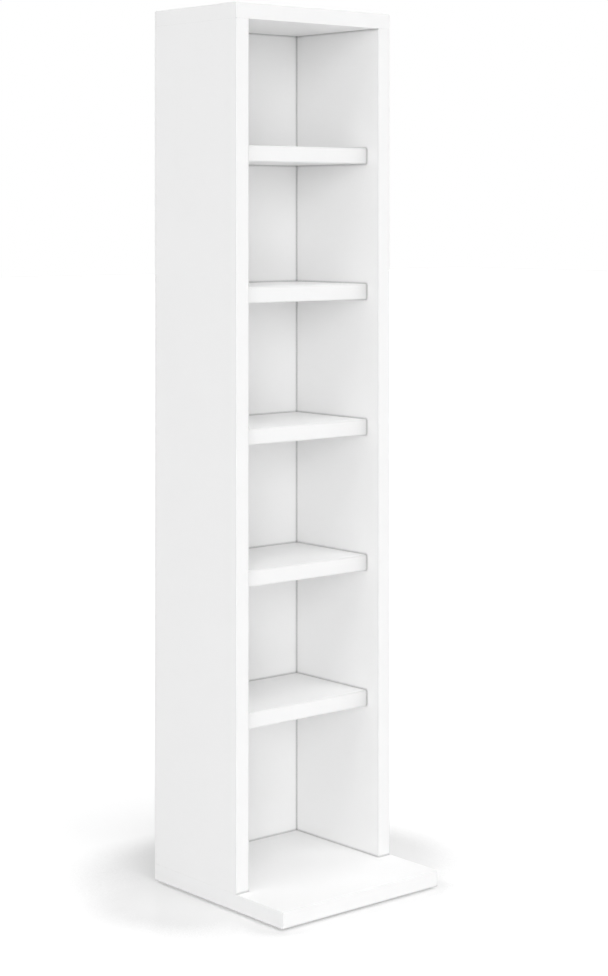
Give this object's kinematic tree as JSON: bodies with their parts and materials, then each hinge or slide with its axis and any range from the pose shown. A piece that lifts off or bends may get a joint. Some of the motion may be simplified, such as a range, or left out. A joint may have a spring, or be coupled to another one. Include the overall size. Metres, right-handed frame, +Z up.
{
  "type": "cd dvd storage tower",
  "caption": "Tall narrow open storage tower for CD and DVD cases: box carcass with fixed shelves set back from the front edge, standing on a square base plate that projects as a ledge.",
  "frame": {"origin": "on the floor, under the middle of the square base plate", "axes": "+Z up; the open front faces -Y; +X is the right side seen from the front"},
  "size_m": [0.23, 0.23, 1.002],
  "materials": {
    "gloss_white_board": "fibreboard with a high-gloss white finish on every face and small rounded edges",
    "white_hardboard": "thin hardboard, painted white, smooth inside and finely textured outside",
    "glide_plastic": "dark matt glide pads",
    "beech_dowel": "raw beech, fluted",
    "zinc_plated_steel": "bright zinc plating"
  },
  "bodies": {
    "root": {"base_plate": "gloss_white_board", "side_panel_left": "gloss_white_board", "side_panel_right": "gloss_white_board", "top_panel": "gloss_white_board", "back_panel": "white_hardboard", "shelf_1": "gloss_white_board", "shelf_2": "gloss_white_board", "shelf_3": "gloss_white_board", "shelf_4": "gloss_white_board", "shelf_5": "gloss_white_board", "glide_left_front": "glide_plastic", "glide_left_rear": "glide_plastic", "glide_right_front": "glide_plastic", "glide_right_rear": "glide_plastic", "shelf_1_dowel_left_front": "beech_dowel", "shelf_1_dowel_left_rear": "beech_dowel", "shelf_2_dowel_left_front": "beech_dowel", "shelf_2_dowel_left_rear": "beech_dowel", "shelf_3_dowel_left_front": "beech_dowel", "shelf_3_dowel_left_rear": "beech_dowel", "shelf_4_dowel_left_front": "beech_dowel", "shelf_4_dowel_left_rear": "beech_dowel", "shelf_5_dowel_left_front": "beech_dowel", "shelf_5_dowel_left_rear": "beech_dowel", "shelf_1_dowel_right_front": "beech_dowel", "shelf_1_dowel_right_rear": "beech_dowel", "shelf_2_dowel_right_front": "beech_dowel", "shelf_2_dowel_right_rear": "beech_dowel", "shelf_3_dowel_right_front": "beech_dowel", "shelf_3_dowel_right_rear": "beech_dowel", "shelf_4_dowel_right_front": "beech_dowel", "shelf_4_dowel_right_rear": "beech_dowel", "shelf_5_dowel_right_front": "beech_dowel", "shelf_5_dowel_right_rear": "beech_dowel", "top_dowel_left_front": "beech_dowel", "top_dowel_left_rear": "beech_dowel", "top_dowel_right_front": "beech_dowel", "top_dowel_right_rear": "beech_dowel", "base_dowel_left": "beech_dowel", "base_dowel_right": "beech_dowel", "base_screw_left_front": "zinc_plated_steel", "base_screw_left_rear": "zinc_plated_steel", "base_screw_right_front": "zinc_plated_steel", "base_screw_right_rear": "zinc_plated_steel", "back_nail_left_1": "zinc_plated_steel", "back_nail_left_2": "zinc_plated_steel", "back_nail_left_3": "zinc_plated_steel", "back_nail_left_4": "zinc_plated_steel", "back_nail_left_5": "zinc_plated_steel", "back_nail_left_6": "zinc_plated_steel", "back_nail_left_top": "zinc_plated_steel", "back_nail_right_1": "zinc_plated_steel", "back_nail_right_2": "zinc_plated_steel", "back_nail_right_3": "zinc_plated_steel", "back_nail_right_4": "zinc_plated_steel", "back_nail_right_5": "zinc_plated_steel", "back_nail_right_6": "zinc_plated_steel", "back_nail_right_top": "zinc_plated_steel"}
  },
  "joints": []
}
